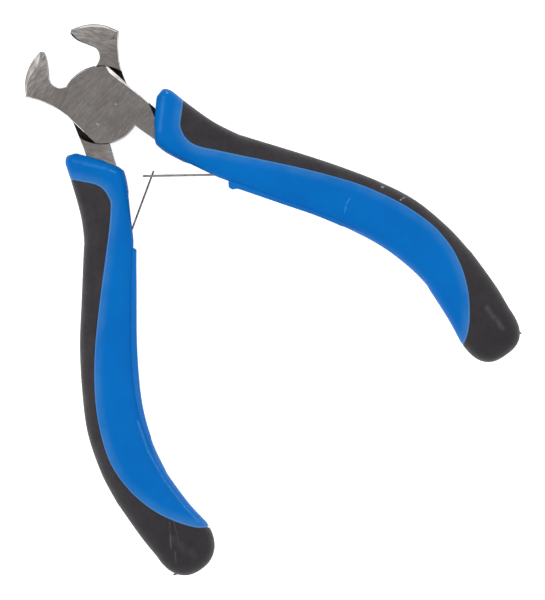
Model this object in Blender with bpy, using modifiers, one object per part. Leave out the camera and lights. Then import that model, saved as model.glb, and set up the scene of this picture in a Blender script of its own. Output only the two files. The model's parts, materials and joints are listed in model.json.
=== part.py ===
"""Mosaic glass nippers: small end-cutting pliers with a lap joint, two-colour grips and leaf springs.

Frame: metres. The origin is on the pivot axis, in the joint's lower ground face. +Z runs up the
pivot axis, +Y from the handles to the jaws along the line that halves the open handles.
Both levers are the same forging: the lower one is the upper one turned over about a line
parallel to Y through the joint's middle. Sizes below are in millimetres.
"""

import math

import bmesh
import bpy
import numpy as np
from mathutils import Matrix, Vector

MM = 0.001

# Joint
JOINT_THICKNESS = 8.0
MID_Z = JOINT_THICKNESS / 2
DISC_RADIUS = 7.75
RUNNING_GAP = 0.1
LAP_GAP = 0.04

# How far a cutter reaches past the surface it opens
CLEAR_OF_PART = 3.0

# Pivot rivet
RIVET_RADIUS = 2.4
RIVET_HEAD_RADIUS = 3.0
RIVET_HEAD_DEPTH = 0.7
RIVET_GAP = 0.05

# Grips
SOFT_THICKNESS = 1.4
MOULD_GAP = 0.06
TANG_GAP = 0.08
SECTION_POINTS = 28

# Leaf springs
LEAF_THICKNESS = 0.4
LEAF_WIDTH = 5.0
LEAF_GAP = 0.25
LEAF_TIP = Vector((-1.45, -16.3))
LEAF_BEND = Vector((13.9, -26.8))
LEAF_BEND_RADIUS = 2.0
LEAF_ROOT_DIRECTION = Vector((0.543, -0.840)).normalized()
LEAF_ROOT_LENGTH = 7.5
LEAF_FLEX_SHARE = 0.15
SLOT_LENGTH = 1.4
SLOT_WIDTH = 2.6
TONGUE_WIDTH = 2.1
TONGUE_START = 1.1
TONGUE_HEAD_START = 0.5
TONGUE_HEAD_END = 1.1
TONGUE_HEAD_WIDTH = 3.8

# Rivet that holds a leaf on its tang
PIN_RADIUS = 0.9
PIN_HEAD_RADIUS = 1.5
PIN_HEAD_HEIGHT = 0.7
PIN_DEPTH = 2.2
PIN_GAP = 0.05
PIN_SPARE_DEPTH = 0.4
PIN_ROOM = 0.2
PIN_FROM_BEND = 4.0

# Rib along the inner side of each grip, over the leaf's root. Heights are (distance down the
# grip's edge, height): a lip at the start, and an end that sinks into the grip.
RIB_WIDTH = 6.2
RIB_DEPTH = 1.0
RIB_START_Y = -27.5
RIB_STEP = 3.0
RIB_TANGENT = 0.5
RIB_HEIGHTS = {"right": [(0.0, 0.3), (0.4, 0.85), (1.2, 1.05), (2.0, 0.55), (4.0, 0.4), (7.5, 0.22),
                         (11.0, 0.12), (25.0, 0.1), (31.0, -0.75)],
               "left": [(0.0, 0.25), (0.4, 0.5), (1.2, 0.65), (4.0, 0.58), (7.5, 0.46), (11.0, 0.38),
                        (18.0, 0.42), (26.0, 0.44), (30.0, 0.3), (35.0, 0.2), (41.0, -0.75)]}


# ---------------------------------------------------------------- scene

def clear_scene():
    for obj in list(bpy.data.objects):
        bpy.data.objects.remove(obj)


def new_collection(name):
    collection = bpy.data.collections.new(name)
    bpy.context.scene.collection.children.link(collection)
    return collection


clear_scene()
PARTS = new_collection("glass_nippers")
CUTTERS = new_collection("cutters")


def material(name, colour, roughness, metallic):
    mat = bpy.data.materials.new(name)
    mat.use_nodes = True
    shader = mat.node_tree.nodes["Principled BSDF"]
    shader.inputs["Base Color"].default_value = (*colour, 1.0)
    shader.inputs["Roughness"].default_value = roughness
    shader.inputs["Metallic"].default_value = metallic
    return mat


STEEL = (0.27, 0.25, 0.24)
BLUE = (0.0, 0.145, 0.50)
BLACK = (0.045, 0.043, 0.046)
SPRING_STEEL = (0.40, 0.36, 0.33)


# ---------------------------------------------------------------- outlines

def smooth(points, per_span=5):
    """A curve through the given points (Catmull-Rom), with the first and last points kept."""
    knots = np.array([tuple(p) for p in points], float)
    ends = np.vstack([2 * knots[0] - knots[1], knots, 2 * knots[-1] - knots[-2]])
    out = []
    for i in range(len(knots) - 1):
        a, b, c, d = ends[i:i + 4]
        for t in np.arange(per_span) / per_span:
            out.append(0.5 * (2 * b + (c - a) * t + (2 * a - 5 * b + 4 * c - d) * t ** 2
                              + (3 * b - a - 3 * c + d) * t ** 3))
    out.append(knots[-1])
    return [tuple(p) for p in out]


def arc(radius, start, end, step_deg=3.75):
    """Points on a circle about the pivot axis, both ends included. Angles in degrees."""
    count = max(2, round(abs(end - start) / step_deg) + 1)
    return [(radius * math.cos(math.radians(a)), radius * math.sin(math.radians(a)))
            for a in np.linspace(start, end, count)]


def fillet(before, corner, after, radius, steps=6):
    """The arc that rounds one corner of a path."""
    corner = Vector(corner)
    u = (Vector(before) - corner).normalized()
    v = (Vector(after) - corner).normalized()
    half = u.angle(v) / 2
    start = corner + u * radius / math.tan(half)
    end = corner + v * radius / math.tan(half)
    centre = corner + (u + v).normalized() * radius / math.sin(half)
    a = start - centre
    b = end - centre
    return [tuple(centre + (a * math.sin((1 - t) * (math.pi - 2 * half))
                            + b * math.sin(t * (math.pi - 2 * half))) / math.sin(math.pi - 2 * half))
            for t in np.linspace(0, 1, steps + 1)]


def grown(outline, distance):
    """A closed counter-clockwise outline moved outwards by a small distance."""
    pts = np.array([tuple(p) for p in outline], float)
    ahead = np.roll(pts, -1, axis=0) - pts
    ahead /= np.linalg.norm(ahead, axis=1)[:, None]
    behind = np.roll(ahead, 1, axis=0)
    normal = np.stack([ahead[:, 1] + behind[:, 1], -ahead[:, 0] - behind[:, 0]], 1)
    normal /= np.linalg.norm(normal, axis=1)[:, None]
    stretch = np.clip((normal * np.stack([ahead[:, 1], -ahead[:, 0]], 1)).sum(1), 0.5, 1)
    return [tuple(p) for p in pts + normal * (distance / stretch)[:, None]]


# ---------------------------------------------------------------- solids

def add_object(name, mesh, collection, colour=None, roughness=0.5, metallic=0.0):
    obj = bpy.data.objects.new(name, mesh)
    collection.objects.link(obj)
    if collection is CUTTERS:
        obj.hide_render = True
        obj.display_type = "WIRE"
    if colour is not None:
        mesh.materials.clear()
        mesh.materials.append(material(name, colour, roughness, metallic))
    return obj


def mesh_from(obj):
    """The evaluated mesh of a curve or modified object, welded. The object is removed."""
    bpy.context.view_layer.update()
    evaluated = obj.evaluated_get(bpy.context.evaluated_depsgraph_get())
    mesh = bpy.data.meshes.new_from_object(evaluated)
    bpy.data.objects.remove(obj)
    bm = bmesh.new()
    bm.from_mesh(mesh)
    bmesh.ops.remove_doubles(bm, verts=bm.verts, dist=1e-7)
    bmesh.ops.recalc_face_normals(bm, faces=bm.faces)
    bm.to_mesh(mesh)
    bm.free()
    return mesh


def prism_mesh(outline, low, high):
    """A flat outline (mm) made solid from height low to height high."""
    curve = bpy.data.curves.new("outline", "CURVE")
    curve.dimensions = "2D"
    curve.fill_mode = "BOTH"
    curve.extrude = (high - low) / 2 * MM
    spline = curve.splines.new("POLY")
    spline.points.add(len(outline) - 1)
    for point, (x, y) in zip(spline.points, outline):
        point.co = (x * MM, y * MM, 0, 1)
    spline.use_cyclic_u = True
    obj = bpy.data.objects.new("outline", curve)
    CUTTERS.objects.link(obj)
    mesh = mesh_from(obj)
    mesh.transform(Matrix.Translation((0, 0, (low + high) / 2 * MM)))
    return mesh


def turned_mesh(profile, steps=48):
    """A closed (radius, height) profile in mm, run down its outer side, turned about Z."""
    mesh = bpy.data.meshes.new("profile")
    mesh.from_pydata([(r * MM, 0, z * MM) for r, z in profile],
                     [(i, i + 1) for i in range(len(profile) - 1)], [])
    obj = bpy.data.objects.new("profile", mesh)
    CUTTERS.objects.link(obj)
    screw = obj.modifiers.new("turn", "SCREW")
    screw.steps = steps
    screw.render_steps = steps
    screw.use_merge_vertices = True
    screw.merge_threshold = 1e-6
    return mesh_from(obj)


def box_mesh(size, matrix):
    bm = bmesh.new()
    bmesh.ops.create_cube(bm, size=MM)
    bmesh.ops.scale(bm, vec=size, verts=bm.verts)
    bmesh.ops.transform(bm, matrix=matrix, verts=bm.verts)
    mesh = bpy.data.meshes.new("box")
    bm.to_mesh(mesh)
    bm.free()
    return mesh


def loft_mesh(rings):
    """A closed skin over rings of equal point count, with flat ends."""
    bm = bmesh.new()
    rows = [[bm.verts.new([c * MM for c in p]) for p in ring] for ring in rings]
    for low, high in zip(rows, rows[1:]):
        for i in range(len(low)):
            j = (i + 1) % len(low)
            bm.faces.new((low[i], low[j], high[j], high[i]))
    bm.faces.new(list(reversed(rows[0])))
    bm.faces.new(rows[-1])
    bmesh.ops.recalc_face_normals(bm, faces=bm.faces)
    mesh = bpy.data.meshes.new("loft")
    bm.to_mesh(mesh)
    bm.free()
    return mesh


def boolean(obj, other, operation="DIFFERENCE"):
    mod = obj.modifiers.new(operation.lower() + "_" + other.name, "BOOLEAN")
    mod.operation = operation
    mod.solver = "EXACT"
    mod.object = other


TURNED_OVER = (Matrix.Translation((0, 0, MID_Z * MM)) @ Matrix.Rotation(math.pi, 4, "Y")
               @ Matrix.Translation((0, 0, -MID_Z * MM)))


def place(side):
    """Pieces are drawn for the right handle, and turned over for the left one."""
    return Matrix.Identity(4) if side == "right" else TURNED_OVER


# ---------------------------------------------------------------- lever

JAW_OUTER_ARC = [(-3.75, 15.8), (-6.0, 15.2), (-8.1, 14.1), (-9.9, 12.45), (-11.35, 10.15)]
JAW_FLANK = [(-11.35, 10.15), (-9.6, 7.9), (-8.2, 5.6), (-7.1, 2.9), (-6.45, 0.0), (-5.4, -5.56)]
THROAT = [(-3.4, 6.96), (-4.65, 7.5), (-5.35, 8.2), (-5.7, 9.3), (-5.55, 10.3), (-4.9, 11.4),
          (-3.9, 13.2), (-3.35, 14.5), (-3.2, 15.3)]
NECK_INNER = [(3.1, -7.1), (4.6, -11.5), (5.8, -13.4)]
NECK_CUT = [(8.05, -4.5), (6.9, -9.6)]
NECK_CUT_SLOPE = 40.0
NECK_CUT_BLOCK = Vector((16.0, 8.0, 4.0))
NECK_OUTER = [(9.7, -11.8), (8.25, -6.2), (5.45, 5.51)]

# (inner point, outer point, half height) of the tang, from the neck to the handle's end
TANG = [((4.4, -10.6), (8.9, -9.3), 3.9),
        ((5.35, -12.9), (9.7, -11.4), 3.8),
        ((7.9, -17.0), (11.9, -14.6), 3.0),
        ((13.85, -26.2), (17.7, -23.9), 2.6),
        ((20.1, -35.7), (23.9, -33.2), 2.5),
        ((25.2, -43.3), (29.0, -41.0), 2.4),
        ((29.5, -51.0), (33.5, -49.2), 2.4),
        ((32.4, -59.0), (36.5, -58.0), 2.4),
        ((33.9, -66.0), (37.7, -66.0), 2.4)]


def angle_of(point):
    return math.degrees(math.atan2(point[1], point[0]))


def lever_outline():
    lower_arc = arc(DISC_RADIUS, angle_of(JAW_FLANK[-1]) + 360, angle_of(NECK_INNER[0]) + 360)
    upper_arc = arc(DISC_RADIUS, angle_of(NECK_OUTER[-1]), angle_of(THROAT[0]))
    return (smooth(JAW_OUTER_ARC) + smooth(JAW_FLANK)[1:-1] + lower_arc + NECK_INNER[1:]
            + NECK_OUTER[:-1] + upper_arc + smooth(THROAT)[1:])


def tang_rings(gap=0.0):
    rings = []
    for row in smooth([(*a, *b, h) for a, b, h in TANG], 3):
        inner = Vector(row[:2])
        outer = Vector(row[2:4])
        across = (outer - inner).normalized() * gap
        inner -= across
        outer += across
        high = row[4] + gap
        rings.append([(*inner, MID_Z - high), (*outer, MID_Z - high),
                      (*outer, MID_Z + high), (*inner, MID_Z + high)])
    return rings


def pin_place():
    """Where the leaf's rivet stands on the tang: its axis points from the tang to the handle gap."""
    spot = LEAF_BEND + LEAF_ROOT_DIRECTION * PIN_FROM_BEND
    away = Vector((LEAF_ROOT_DIRECTION.y, -LEAF_ROOT_DIRECTION.x, 0))
    tilt = away.to_track_quat("Z", "Y").to_matrix().to_4x4()
    return Matrix.Translation((spot.x * MM, spot.y * MM, MID_Z * MM)) @ tilt


def pivot_profile(gap=0.0, reach=0.0):
    """Rivet with countersunk ends ground flush; with a gap and a reach it is its hole."""
    high = JOINT_THICKNESS
    head = RIVET_HEAD_RADIUS + gap
    shank = RIVET_RADIUS + gap
    ends = [(head, high + reach), (head, high)] if reach else [(head, high)]
    lower = [(head, 0), (head, -reach)] if reach else [(head, 0)]
    return ([(0, high + reach)] + ends + [(shank, high - RIVET_HEAD_DEPTH), (shank, RIVET_HEAD_DEPTH)]
            + lower + [(0, -reach)])


def neck_cut_mesh():
    """A block that slopes off the neck's outer edge, where the forging's skin is left unground."""
    start = Vector((*NECK_CUT[0], JOINT_THICKNESS))
    end = Vector((*NECK_CUT[1], JOINT_THICKNESS))
    along = (end - start).normalized()
    out = Vector((-along.y, along.x, 0))
    slope = math.radians(NECK_CUT_SLOPE)
    down = out * math.cos(slope) - Vector((0, 0, math.sin(slope)))
    normal = out * math.sin(slope) + Vector((0, 0, math.cos(slope)))
    centre = (start + end + normal * NECK_CUT_BLOCK.z) / 2
    turn = Matrix((along, down, normal)).transposed().to_4x4()
    return box_mesh(NECK_CUT_BLOCK, Matrix.Translation(centre * MM) @ turn)


def make_lever(name, side):
    turn = place(side)
    mesh = prism_mesh(lever_outline(), 0, JOINT_THICKNESS)
    mesh.transform(turn)
    lever = add_object(name, mesh, PARTS, STEEL, 0.35, 1.0)

    def cutter(label, part_mesh):
        part_mesh.transform(turn)
        return add_object(name + "_" + label, part_mesh, CUTTERS)

    recess = turned_mesh([(0, MID_Z + LAP_GAP / 2), (DISC_RADIUS + RUNNING_GAP, MID_Z + LAP_GAP / 2),
                          (DISC_RADIUS + RUNNING_GAP, -CLEAR_OF_PART), (0, -CLEAR_OF_PART)], 96)
    boolean(lever, cutter("recess", recess))
    boolean(lever, cutter("neck_cut", neck_cut_mesh()))
    boolean(lever, cutter("tang", loft_mesh(tang_rings())), "UNION")
    boolean(lever, cutter("pivot_hole", turned_mesh(pivot_profile(RIVET_GAP, CLEAR_OF_PART))))
    depth = PIN_DEPTH + PIN_SPARE_DEPTH
    pin_hole = turned_mesh([(0, 0), (PIN_RADIUS + PIN_GAP, 0), (PIN_RADIUS + PIN_GAP, -depth),
                            (0, -depth)], 24)
    pin_hole.transform(pin_place())
    boolean(lever, cutter("pin_hole", pin_hole))
    return lever


# ---------------------------------------------------------------- grips

# (inner point, outer point, half height, squareness) from the collar to where the butt starts
GRIP = [((4.27, -13.31), (13.2, -6.4), 5.4, 4.4),
        ((5.13, -15.65), (14.2, -10.0), 5.3, 3.8),
        ((7.73, -20.64), (16.3, -15.5), 5.0, 3.1),
        ((11.55, -26.92), (20.0, -21.9), 4.85, 2.9),
        ((17.29, -35.68), (25.8, -29.4), 4.8, 2.8),
        ((22.35, -42.87), (31.3, -36.8), 4.8, 2.8),
        ((26.71, -49.96), (36.5, -44.4), 4.9, 2.7),
        ((29.47, -56.09), (40.2, -51.8), 5.0, 2.7),
        ((31.3, -62.0), (42.5, -59.6), 5.1, 2.7),
        ((32.0, -68.5), (43.5, -68.2), 5.15, 2.6),
        ((31.75, -75.0), (43.5, -75.2), 5.15, 2.6),
        ((31.15, -80.1), (43.1, -80.1), 5.1, 2.5)]
COLLAR = [((5.6, -10.4), (10.4, -4.8), 4.7, 4.4),
          ((4.75, -11.6), (11.9, -4.45), 5.15, 4.4),
          ((4.3, -12.5), (12.8, -5.2), 5.32, 4.4)]
BUTT_TIP = (37.1, -87.5)
BUTT_SQUARENESS = 2.3
BUTT_ROWS = 8
BUTT_LAST_ROW = 0.985

# Line where the soft black skin meets the blue core, seen from above, collar to butt
SKIN_LINE = [(14.6, -8.0), (12.5, -9.75), (11.0, -11.2), (9.95, -12.8), (9.6, -14.7), (9.8, -16.2),
             (10.7, -17.8), (12.0, -19.3), (15.0, -22.7), (20.0, -28.1), (25.0, -33.6), (30.0, -39.9),
             (33.6, -45.2), (36.9, -50.2), (39.1, -55.2), (40.3, -60.2), (40.45, -63.5), (40.0, -67.0),
             (39.1, -70.3), (37.6, -73.6), (35.6, -76.7), (33.6, -79.1), (32.2, -80.2), (30.5, -80.7)]
SKIN_OUTSIDE = [(25.0, -92.0), (55.0, -92.0), (55.0, -4.0)]


def section(inner, outer, high, square):
    """One superellipse across the grip, between its inner and its outer edge."""
    inner = Vector(inner)
    outer = Vector(outer)
    centre = (inner + outer) / 2
    half = (outer - inner) / 2
    ring = []
    for k in range(SECTION_POINTS):
        a = 2 * math.pi * (k + 0.5) / SECTION_POINTS
        along = math.copysign(abs(math.cos(a)) ** (2 / square), math.cos(a))
        up = math.copysign(abs(math.sin(a)) ** (2 / square), math.sin(a))
        ring.append((*(centre + half * along), MID_Z + high * up))
    return ring


def grip_mesh(inset=0.0):
    """The grip's outer form, or that form drawn in by the inset on every side."""
    rings = []

    def add(inner, outer, high, square):
        inner = Vector(inner)
        outer = Vector(outer)
        across = (outer - inner).normalized() * inset
        rings.append(section(inner + across, outer - across, high - inset, square))

    rows = smooth([(*a, *b, h, q) for a, b, h, q in GRIP], 3)
    if not inset:
        rows = [(*a, *b, h, q) for a, b, h, q in COLLAR] + rows
    for row in rows:
        add(row[:2], row[2:4], row[4], row[5])
    last_in, last_out, last_high, last_square = GRIP[-1]
    centre = (Vector(last_in) + Vector(last_out)) / 2
    tip = Vector(BUTT_TIP) + (centre - Vector(BUTT_TIP)).normalized() * inset
    half = (Vector(last_out) - Vector(last_in)) / 2
    half -= half.normalized() * inset
    for k in range(1, BUTT_ROWS + 1):
        t = math.sin(k / BUTT_ROWS * math.pi / 2 * BUTT_LAST_ROW)
        size = (1 - t ** BUTT_SQUARENESS) ** (1 / BUTT_SQUARENESS)
        middle = centre.lerp(tip, t)
        rings.append(section(middle - half * size, middle + half * size,
                             (last_high - inset) * size, last_square))
    return loft_mesh(rings)


def skin_region(gap):
    """Plan region of the soft skin, grown by the gap."""
    return grown(smooth(SKIN_LINE, 4) + SKIN_OUTSIDE, gap)


def rib_outline(side):
    edge = np.array(smooth([inner for inner, outer, high, square in GRIP], 6))
    run = np.concatenate([[0], np.cumsum(np.linalg.norm(np.diff(edge, axis=0), axis=1))])
    start = np.interp(-RIB_START_Y, -edge[:, 1], run)
    knots, heights = np.array(RIB_HEIGHTS[side]).T
    distances = np.union1d(knots, np.arange(2 * RIB_STEP, knots[-1], RIB_STEP))

    def at(distance):
        return np.stack([np.interp(start + distance, run, edge[:, k]) for k in (0, 1)], axis=1)

    along = at(distances + RIB_TANGENT) - at(distances - RIB_TANGENT)
    along /= np.linalg.norm(along, axis=1)[:, None]
    away = np.stack([along[:, 1], -along[:, 0]], axis=1)
    outer = at(distances) + away * np.interp(distances, knots, heights)[:, None]
    inner = at(distances) - away * RIB_DEPTH
    return [tuple(p) for p in outer] + [tuple(p) for p in inner[::-1]]


# Room for the leaf, as (distance from the bend along the root, distance towards the tang):
# a groove for the blade up to where it clears the grip when closed, and a pocket for the root
BLADE_GROOVE = [(0.2, 0.3), (-3.4, 0.3), (-6.0, -0.6), (-13.4, -2.5), (-13.4, -5.0), (-0.6, -5.0),
                (-0.6, -0.75), (0.2, -0.65)]
ROOT_POCKET = [(-0.4, 0.5), (-0.4, -0.4), (LEAF_ROOT_LENGTH + 0.3, -0.4), (LEAF_ROOT_LENGTH + 0.3, 0.5)]


def beside_root(shape):
    to_tang = Vector((-LEAF_ROOT_DIRECTION.y, LEAF_ROOT_DIRECTION.x))
    return [tuple(LEAF_BEND + LEAF_ROOT_DIRECTION * a + to_tang * b) for a, b in shape]


def make_grip(side):
    turn = place(side)
    core_name = "grip_core_" + side
    soft_name = "grip_soft_" + side

    def solid(name, mesh, collection=CUTTERS, *look):
        mesh.transform(turn)
        return add_object(name, mesh, collection, *look)

    core = solid(core_name, grip_mesh(), PARTS, BLUE, 0.4)
    low = -JOINT_THICKNESS
    high = 2 * JOINT_THICKNESS
    leaf_low = MID_Z - LEAF_WIDTH / 2 - LEAF_GAP
    leaf_high = MID_Z + LEAF_WIDTH / 2 + LEAF_GAP
    boolean(core, solid(core_name + "_skin", prism_mesh(skin_region(MOULD_GAP), low, high)))
    inner = solid(core_name + "_inner", grip_mesh(SOFT_THICKNESS + MOULD_GAP))
    boolean(core, inner, "UNION")
    rib = prism_mesh(rib_outline(side), MID_Z - RIB_WIDTH / 2, MID_Z + RIB_WIDTH / 2)
    boolean(core, solid(core_name + "_rib", rib), "UNION")
    neck = grown(lever_outline(), TANG_GAP)
    boolean(core, solid(core_name + "_neck", prism_mesh(neck, -TANG_GAP, JOINT_THICKNESS + TANG_GAP)))
    boolean(core, solid(core_name + "_tang", loft_mesh(tang_rings(TANG_GAP))))
    boolean(core, solid(core_name + "_groove", prism_mesh(beside_root(BLADE_GROOVE), leaf_low, leaf_high)))
    boolean(core, solid(core_name + "_root", prism_mesh(beside_root(ROOT_POCKET), leaf_low, leaf_high)))
    wide = PIN_HEAD_RADIUS + PIN_ROOM
    tall = PIN_HEAD_HEIGHT + LEAF_THICKNESS / 2 + PIN_ROOM
    pocket = turned_mesh([(0, tall), (wide, tall), (wide, -PIN_ROOM), (0, -PIN_ROOM)], 24)
    pocket.transform(pin_place())
    boolean(core, solid(core_name + "_pin_pocket", pocket))

    soft = solid(soft_name, grip_mesh(), PARTS, BLACK, 0.6)
    boolean(soft, solid(soft_name + "_region", prism_mesh(skin_region(0.0), low, high)), "INTERSECT")
    boolean(soft, solid(soft_name + "_inner", grip_mesh(SOFT_THICKNESS)))
    return core, soft


# ---------------------------------------------------------------- springs

BLADE_DIRECTION = (LEAF_BEND - LEAF_TIP).normalized()

# Distance from the bend to where the two blades cross, on the line between the handles
CROSSING = LEAF_BEND.x / BLADE_DIRECTION.x


def leaf_outline(length_past_bend):
    """Side view of a leaf: a straight blade, a bend, and a root that lies along the tang."""
    tip = LEAF_BEND - BLADE_DIRECTION * length_past_bend
    end = LEAF_BEND + LEAF_ROOT_DIRECTION * LEAF_ROOT_LENGTH
    path = [tuple(tip)] + fillet(tip, LEAF_BEND, end, LEAF_BEND_RADIUS) + [tuple(end)]
    edge = []
    for sign in (1, -1):
        side = []
        for k, p in enumerate(path):
            a = Vector(path[max(k - 1, 0)])
            b = Vector(path[min(k + 1, len(path) - 1)])
            normal = Vector(((b - a).y, -(b - a).x)).normalized()
            side.append(tuple(Vector(p) + normal * sign * LEAF_THICKNESS / 2))
        edge.append(side)
    return edge[0] + list(reversed(edge[1]))


def flex_point():
    """The point that the blade turns about, for a blade clamped at its bend."""
    return LEAF_BEND - BLADE_DIRECTION * CROSSING * LEAF_FLEX_SHARE


def leaf_box(from_bend, to_bend, low, high):
    """A block across the blade, between two distances from the bend and two heights."""
    middle = LEAF_BEND - BLADE_DIRECTION * (from_bend + to_bend) / 2
    turn = Matrix.Rotation(math.atan2(BLADE_DIRECTION.y, BLADE_DIRECTION.x), 4, "Z")
    where = Matrix.Translation((middle.x * MM, middle.y * MM, (low + high) / 2 * MM)) @ turn
    return box_mesh((abs(to_bend - from_bend), 3 * LEAF_THICKNESS, high - low), where)


def make_leaf(side):
    name = "leaf_spring_" + side
    turn = place(side)
    reach = (LEAF_BEND - LEAF_TIP).length if side == "right" else CROSSING + TONGUE_HEAD_END
    mesh = prism_mesh(leaf_outline(reach), MID_Z - LEAF_WIDTH / 2, MID_Z + LEAF_WIDTH / 2)
    mesh.transform(turn)
    leaf = add_object(name, mesh, PARTS, SPRING_STEEL, 0.3, 1.0)

    def cutter(label, part_mesh):
        part_mesh.transform(turn)
        return add_object(name + "_" + label, part_mesh, CUTTERS)

    if side == "right":
        slot = leaf_box(CROSSING - SLOT_LENGTH / 2, CROSSING + SLOT_LENGTH / 2,
                        MID_Z - SLOT_WIDTH / 2, MID_Z + SLOT_WIDTH / 2)
        boolean(leaf, cutter("slot", slot))
    else:
        for label, sign in (("low", -1), ("high", 1)):
            steps = (("tongue", CROSSING - TONGUE_START, CROSSING + TONGUE_HEAD_START, TONGUE_WIDTH),
                     ("head", CROSSING, CROSSING + CLEAR_OF_PART, TONGUE_HEAD_WIDTH))
            for step, start, end, width in steps:
                edges = sorted((MID_Z + sign * width / 2, MID_Z + sign * LEAF_WIDTH))
                boolean(leaf, cutter(step + "_" + label, leaf_box(start, end, *edges)))
    hole = turned_mesh([(0, LEAF_WIDTH / 2), (PIN_RADIUS + PIN_GAP, LEAF_WIDTH / 2),
                        (PIN_RADIUS + PIN_GAP, -LEAF_WIDTH / 2), (0, -LEAF_WIDTH / 2)], 24)
    hole.transform(pin_place())
    boolean(leaf, cutter("pin_hole", hole))

    hinge = flex_point()
    spot = turn @ Vector((hinge.x * MM, hinge.y * MM, MID_Z * MM))
    leaf.data.transform(Matrix.Translation(-spot))
    leaf.location = spot
    return leaf


def make_pin(side):
    face = LEAF_THICKNESS / 2 + PIN_GAP
    profile = [(0, face + PIN_HEAD_HEIGHT), (PIN_HEAD_RADIUS * 0.5, face + PIN_HEAD_HEIGHT * 0.9),
               (PIN_HEAD_RADIUS * 0.85, face + PIN_HEAD_HEIGHT * 0.55), (PIN_HEAD_RADIUS, face),
               (PIN_RADIUS, face), (PIN_RADIUS, -PIN_DEPTH), (0, -PIN_DEPTH)]
    mesh = turned_mesh(profile, 24)
    mesh.transform(pin_place())
    mesh.transform(place(side))
    return add_object("spring_rivet_" + side, mesh, PARTS, SPRING_STEEL, 0.35, 1.0)


def empty(name, location):
    obj = bpy.data.objects.new(name, None)
    obj.location = location
    PARTS.objects.link(obj)
    return obj


def main():
    lower = empty("lower_lever_frame", (0, 0, 0))
    upper = empty("upper_lever_pivot", (0, 0, 0))
    upper.parent = lower
    owners = {"left": lower, "right": upper}
    for side, name in (("left", "lever_lower"), ("right", "lever_upper")):
        pieces = [make_lever(name, side), *make_grip(side), make_leaf(side), make_pin(side)]
        for piece in pieces:
            piece.parent = owners[side]
    rivet = add_object("pivot_rivet", turned_mesh(pivot_profile()), PARTS, STEEL, 0.35, 1.0)
    rivet.parent = lower


main()
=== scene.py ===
"""Looks of the mosaic glass nippers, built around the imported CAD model.

Frame: metres, +Z up the pivot axis, +Y from the handles to the jaws. Sizes below are in
millimetres. Shapes are drawn for the right handle, and turned over for the left one.
"""

import json
import math

import bmesh
import bpy
import numpy as np
from mathutils import Matrix, Vector

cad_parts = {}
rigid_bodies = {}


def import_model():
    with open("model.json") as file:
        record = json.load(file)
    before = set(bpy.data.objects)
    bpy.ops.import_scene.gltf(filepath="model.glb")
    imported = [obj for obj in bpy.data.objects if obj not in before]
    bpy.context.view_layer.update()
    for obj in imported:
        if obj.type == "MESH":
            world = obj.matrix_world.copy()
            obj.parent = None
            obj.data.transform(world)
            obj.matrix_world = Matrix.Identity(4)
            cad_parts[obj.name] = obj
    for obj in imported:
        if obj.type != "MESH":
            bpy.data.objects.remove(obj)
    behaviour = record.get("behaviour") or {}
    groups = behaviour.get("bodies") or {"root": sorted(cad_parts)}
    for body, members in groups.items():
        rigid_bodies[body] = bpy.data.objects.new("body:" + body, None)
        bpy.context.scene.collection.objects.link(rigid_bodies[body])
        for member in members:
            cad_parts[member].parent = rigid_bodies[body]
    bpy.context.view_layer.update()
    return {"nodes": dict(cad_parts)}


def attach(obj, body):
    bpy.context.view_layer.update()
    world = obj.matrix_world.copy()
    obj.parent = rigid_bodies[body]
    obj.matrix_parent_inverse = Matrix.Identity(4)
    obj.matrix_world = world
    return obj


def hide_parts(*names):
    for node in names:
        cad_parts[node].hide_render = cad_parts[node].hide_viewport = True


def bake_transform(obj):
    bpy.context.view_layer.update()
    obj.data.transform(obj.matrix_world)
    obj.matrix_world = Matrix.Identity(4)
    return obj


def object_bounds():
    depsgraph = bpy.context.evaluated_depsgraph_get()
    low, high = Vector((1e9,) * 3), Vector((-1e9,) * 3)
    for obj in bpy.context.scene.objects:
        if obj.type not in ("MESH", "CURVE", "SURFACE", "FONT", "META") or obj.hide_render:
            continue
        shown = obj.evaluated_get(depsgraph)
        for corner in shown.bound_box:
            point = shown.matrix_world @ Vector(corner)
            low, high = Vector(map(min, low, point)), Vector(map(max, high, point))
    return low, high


MM = 0.001
MID_Z = 4.0
THICK = 8.0

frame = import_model()
scene = bpy.context.scene
scene.view_settings.view_transform = "Standard"

SIDES = ("right", "left")
BODY = {"right": "upper_lever", "left": "lower_lever"}
TURNED_OVER = (Matrix.Translation((0, 0, MID_Z * MM)) @ Matrix.Rotation(math.pi, 4, "Y")
               @ Matrix.Translation((0, 0, -MID_Z * MM)))


def place(side):
    return Matrix.Identity(4) if side == "right" else TURNED_OVER


# ------------ curves

def catmull(knots, u):
    """Catmull-Rom through the knots, at u = 0 .. len(knots) - 1."""
    knots = np.array(knots, float)
    ends = np.vstack([2 * knots[0] - knots[1], knots, 2 * knots[-1] - knots[-2]])
    i = min(int(u), len(knots) - 2)
    t = u - i
    a, b, c, d = ends[i:i + 4]
    return 0.5 * (2 * b + (c - a) * t + (2 * a - 5 * b + 4 * c - d) * t ** 2
                  + (3 * b - a - 3 * c + d) * t ** 3)


def smooth(points, per_span=8):
    steps = (len(points) - 1) * per_span
    return [tuple(catmull(points, k / per_span)) for k in range(steps + 1)]


def arc(radius, start, end, step_deg=2.5):
    count = max(2, round(abs(end - start) / step_deg) + 1)
    return [(radius * math.cos(math.radians(a)), radius * math.sin(math.radians(a)))
            for a in np.linspace(start, end, count)]


def angle_of(point):
    return math.degrees(math.atan2(point[1], point[0]))


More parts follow.
